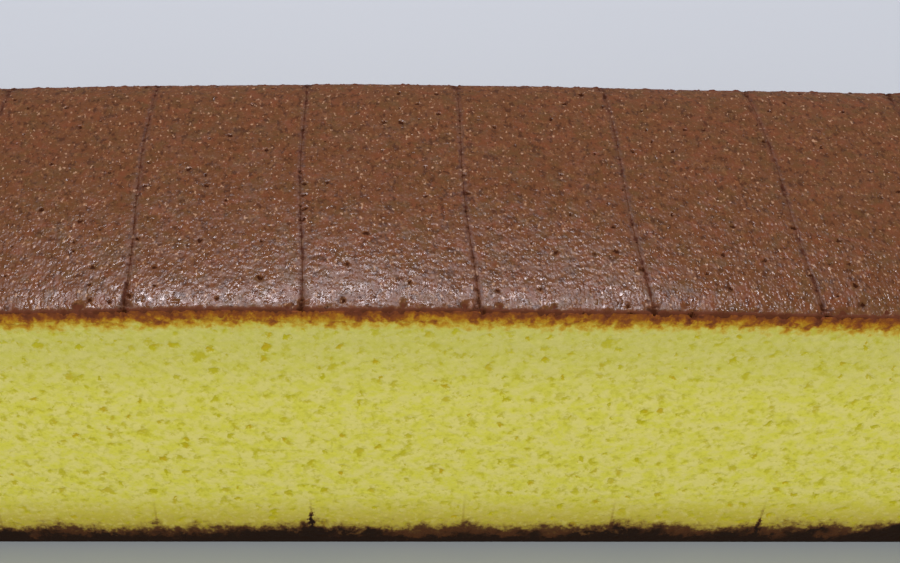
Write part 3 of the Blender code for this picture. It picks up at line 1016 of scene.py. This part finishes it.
def speckled(bench, drawn, colour):
    """The colour strewn with dark and light specks, and a few small pale specks that are partly sugar, partly
    painted glints.
    """
    dark = bench.ease(bench.noise(drawn, 0.95, 3.0, 0.7), 0.50, 0.66, 0.0, 0.8)
    colour = bench.tint(dark, colour, rgba(DARK_SPECK))
    pale_place = bench.shifted(drawn, (9.0, 40.0, 2.0))
    light = bench.ease(bench.noise(pale_place, 1.4, 3.0, 0.7), 0.54, 0.66, 0.0, 0.5)
    colour = bench.tint(light, colour, rgba(LIGHT_SPECK))
    # Pale specks of sugar, partly painted glints.
    sugar_and_glint_place = bench.shifted(drawn, (50.0, 3.0, 8.0))
    sugar_and_glint = bench.ease(bench.noise(sugar_and_glint_place, 1.8, 1.0, 0.5), 0.66, 0.74, 0.0, 0.7)
    return bench.tint(sugar_and_glint, colour, rgba(SUGAR_AND_GLINT_SPECK))


def top_crust_material(crust, shared):
    """Browned leathery top, glinting where syrup has dried on its grain."""
    material, bench, shader, place = finish("browned_top_crust")
    knife = bench.math("DIVIDE", bench.attribute(KNIFE), MM)
    # The skin's specks and beads of dried syrup are a little longer across the loaf than along it.
    drawn = bench.vector("MULTIPLY", place, (1.0, 0.62, 1.0))
    colour = bench.group(shared["mottle"], {
        "Place": place, "Size": 3.2, "Amount": 0.75, "Colour": rgba(crust.colour),
        "Warmer": rgba(WARM_SKIN), "Duller": rgba(DULL_SKIN)})[0]
    colour = speckled(bench, drawn, colour)
    field = bench.group(shared["crust"], {"Place": place, "Knife": knife})
    fading = bench.ease(bench.noise(place, 0.5, 4.0, 0.75), 0.44, 0.60, 0.05, 0.9)
    astray = bench.plus(knife, bench.centred(bench.noise(place, 1.2, 3.0, 0.7), 0.6))
    gap = bench.times(bench.ease(astray, 0.60, 0.10), fading)
    seam = bench.most(gap, bench.ease(astray, 1.0, 0.1, 0.0, 0.3))
    # The trimmed edge and its bites turn to dark crust, partly painted shade where the rounded rim faces the
    # front light.
    edge = bench.most(field["Edge"], bench.ease(field["Nibble"], 0.12, 0.45))
    # Pits and torn lips are painted with shade, near black.
    opened = bench.most(bench.ease(field["Pit"], 0.04, 0.35), field["Torn"])
    colour = bench.tint(edge, colour, rgba(SHADED_TRIMMED_SKIN))
    colour = bench.tint(seam, colour, rgba(SEAM_SHADE))
    colour = bench.tint(opened, colour, rgba(OPENED_SHADE))
    dull = bench.most(bench.most(bench.ease(field["Pit"], 0.0, 0.06), opened), bench.most(seam, edge))
    gloss = bench.ease(bench.noise(place, 0.35, 5.0, 0.75), 0.38, 0.60, 0.32, 0.16)
    bench.feed(shader["Base Color"], colour)
    bench.feed(shader["Roughness"], bench.blend(dull, gloss, 0.95))
    bench.feed(shader["Normal"], bumped(bench, (
        (grain(bench, shared, place, 0.9, 1.0), 0.028 * MM),
        (beads(bench, shared, drawn, 0.8), 0.05 * MM),
        (beads(bench, shared, bench.shifted(drawn, (3.1, 1.7, 0.0)), 0.45), 0.028 * MM))))
    shader["Specular IOR Level"].default_value = 0.16
    return material


def base_crust_material(crust, shared):
    """Nearly black base crust."""
    material, bench, shader, place = finish("dark_base_crust")
    colour = bench.group(shared["mottle"], {
        "Place": place, "Size": 4.0, "Amount": 0.7, "Colour": rgba(crust.base_colour),
        "Warmer": rgba(WARM_BASE), "Duller": rgba(DULL_BASE)})[0]
    bench.feed(shader["Base Color"], colour)
    shader["Roughness"].default_value = 0.7
    bench.feed(shader["Normal"], bumped(bench, (
        (grain(bench, shared, place, 0.8, 2.0), 0.10 * MM),
        (grain(bench, shared, place, 0.3, 1.0), 0.04 * MM))))
    return material


def cake_materials(scene):
    shared = {
        "grain": fine_grain_group(),
        "beads": bead_group(),
        "mottle": mottle_group(),
        "crumb": crumb_field("ShaderNodeTree"),
        "crust": crust_field("ShaderNodeTree"),
    }
    crumb = scene.castella_crumb
    crust = scene.castella_crust
    return {
        "Crumb": crumb_material(crumb, crust, shared),
        "Top Crust": top_crust_material(crust, shared),
        "Base Crust": base_crust_material(crust, shared),
    }


# ---------------------------------------------------------------- operators


class CASTELLA_OT_slices(bpy.types.Operator):
    """Make every slice of the loaf, with its relief and its three finishes"""

    bl_idname = "castella.slices"
    bl_label = "Slices"

    def execute(self, context):
        scene = context.scene
        materials = cake_materials(scene)
        tree = relief_tree()
        crumb = scene.castella_crumb
        crust = scene.castella_crust
        values = {
            "Pore Spacing": crumb.pore_spacing / MM,
            "Pore Depth": crumb.pore_depth / MM,
            "Crumb Roughness": crumb.roughness_height / MM,
            "Grain Height": crust.grain_height / MM,
            **materials,
        }
        for number, node in enumerate(SLICES, start=1):
            form = slice_form(number, scene.castella_shape)
            blank = bpy.data.objects.new("blank_" + node, form.mesh("blank_" + node))
            scene.collection.objects.link(blank)
            piece = worked(blank, tree, values, "sponge_" + node)
            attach(piece, "root")
            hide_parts(node)
        return {"FINISHED"}


def lamp_from(name, size, power, colour, distance, azimuth, rise):
    """A soft rectangular lamp aimed at the loaf: azimuth 0 stands behind it and 180 before it."""
    light = bpy.data.lights.new(name, "AREA")
    light.shape = "RECTANGLE"
    light.size, light.size_y = size
    light.energy = power
    light.color = colour
    lamp = bpy.data.objects.new(name, light)
    bpy.context.scene.collection.objects.link(lamp)
    turn = math.radians(azimuth)
    up = math.radians(rise)
    way = Vector((math.sin(turn) * math.cos(up), math.cos(turn) * math.cos(up), math.sin(up)))
    lamp.location = Vector(LAMP_AIM) + way * distance
    lamp.rotation_euler = way.to_track_quat("Z", "Y").to_euler()
    return lamp


class CASTELLA_OT_stage(bpy.types.Operator):
    """Make the plain floor, the soft lights and the camera"""

    bl_idname = "castella.stage"
    bl_label = "Stage"

    def execute(self, context):
        scene = context.scene
        stage = scene.castella_stage
        bpy.ops.mesh.primitive_plane_add(size=FLOOR_SIZE, location=(0.0, 0.0, 0.0))
        floor = context.active_object
        floor.name = "floor"
        material = bpy.data.materials.new("plain_floor")
        material.use_nodes = True
        shader = material.node_tree.nodes["Principled BSDF"]
        shader.inputs["Base Color"].default_value = rgba(stage.floor_colour)
        shader.inputs["Roughness"].default_value = 0.6
        floor.data.materials.append(material)

        world = bpy.data.worlds.new("soft_surroundings")
        world.use_nodes = True
        sky = world.node_tree.nodes["Background"]
        sky.inputs["Color"].default_value = (0.97, 0.98, 1.0, 1.0)
        sky.inputs["Strength"].default_value = stage.sky
        scene.world = world

        for place, azimuth in LAMP_AZIMUTHS.items():
            lamp_from("lamp_above_" + place, LAMP_SIZE, stage.lamp_power / len(LAMP_AZIMUTHS), LAMP_TINT,
                      LAMP_DISTANCE, azimuth, LAMP_RISE)
        fill = lamp_from("soft_front", FILL_SIZE, stage.fill_power, FILL_TINT,
                         FILL_DISTANCE, 180.0, FILL_RISE)
        fill.visible_glossy = False

        camera_data = bpy.data.cameras.new("camera")
        camera_data.lens = CAMERA_LENS
        camera_data.sensor_width = 36.0
        camera_data.shift_x = CAMERA_SHIFT
        camera = bpy.data.objects.new("camera", camera_data)
        scene.collection.objects.link(camera)
        camera.location = CAMERA_PLACE
        turn = Matrix.Rotation(math.radians(CAMERA_TURN), 4, "Z")
        tip = Matrix.Rotation(math.radians(90.0 - CAMERA_DIP), 4, "X")
        roll = Matrix.Rotation(math.radians(CAMERA_ROLL), 4, "Z")
        camera.rotation_euler = (turn @ tip @ roll).to_euler()
        camera_data.clip_start = 0.01
        scene.camera = camera
        scene.view_settings.view_transform = "Standard"
        return {"FINISHED"}


class CASTELLA_PT_panel(bpy.types.Panel):
    """Steps and settings of the loaf"""

    bl_idname = "CASTELLA_PT_panel"
    bl_label = "Castella Loaf"
    bl_space_type = "VIEW_3D"
    bl_region_type = "UI"
    bl_category = "Castella"

    def draw(self, context):
        for operator in OPERATORS:
            self.layout.operator(operator.bl_idname)
        for name in SETTINGS:
            group = getattr(context.scene, name)
            box = self.layout.box()
            for key in group.bl_rna.properties.keys():
                if key not in ("rna_type", "name"):
                    box.prop(group, key)


OPERATORS = (CASTELLA_OT_slices, CASTELLA_OT_stage)
SETTINGS = {
    "castella_shape": CastellaShape,
    "castella_crumb": CastellaCrumb,
    "castella_crust": CastellaCrust,
    "castella_stage": CastellaStage,
}
CLASSES = (*SETTINGS.values(), *OPERATORS, CASTELLA_PT_panel)


def register():
    for cls in CLASSES:
        bpy.utils.register_class(cls)
    for name, group in SETTINGS.items():
        setattr(bpy.types.Scene, name, PointerProperty(type=group))


def unregister():
    for name in SETTINGS:
        delattr(bpy.types.Scene, name)
    for cls in reversed(CLASSES):
        bpy.utils.unregister_class(cls)


def main():
    register()
    for operator in OPERATORS:
        space, step = operator.bl_idname.split(".")
        getattr(getattr(bpy.ops, space), step)()


if __name__ == "__main__":
    main()
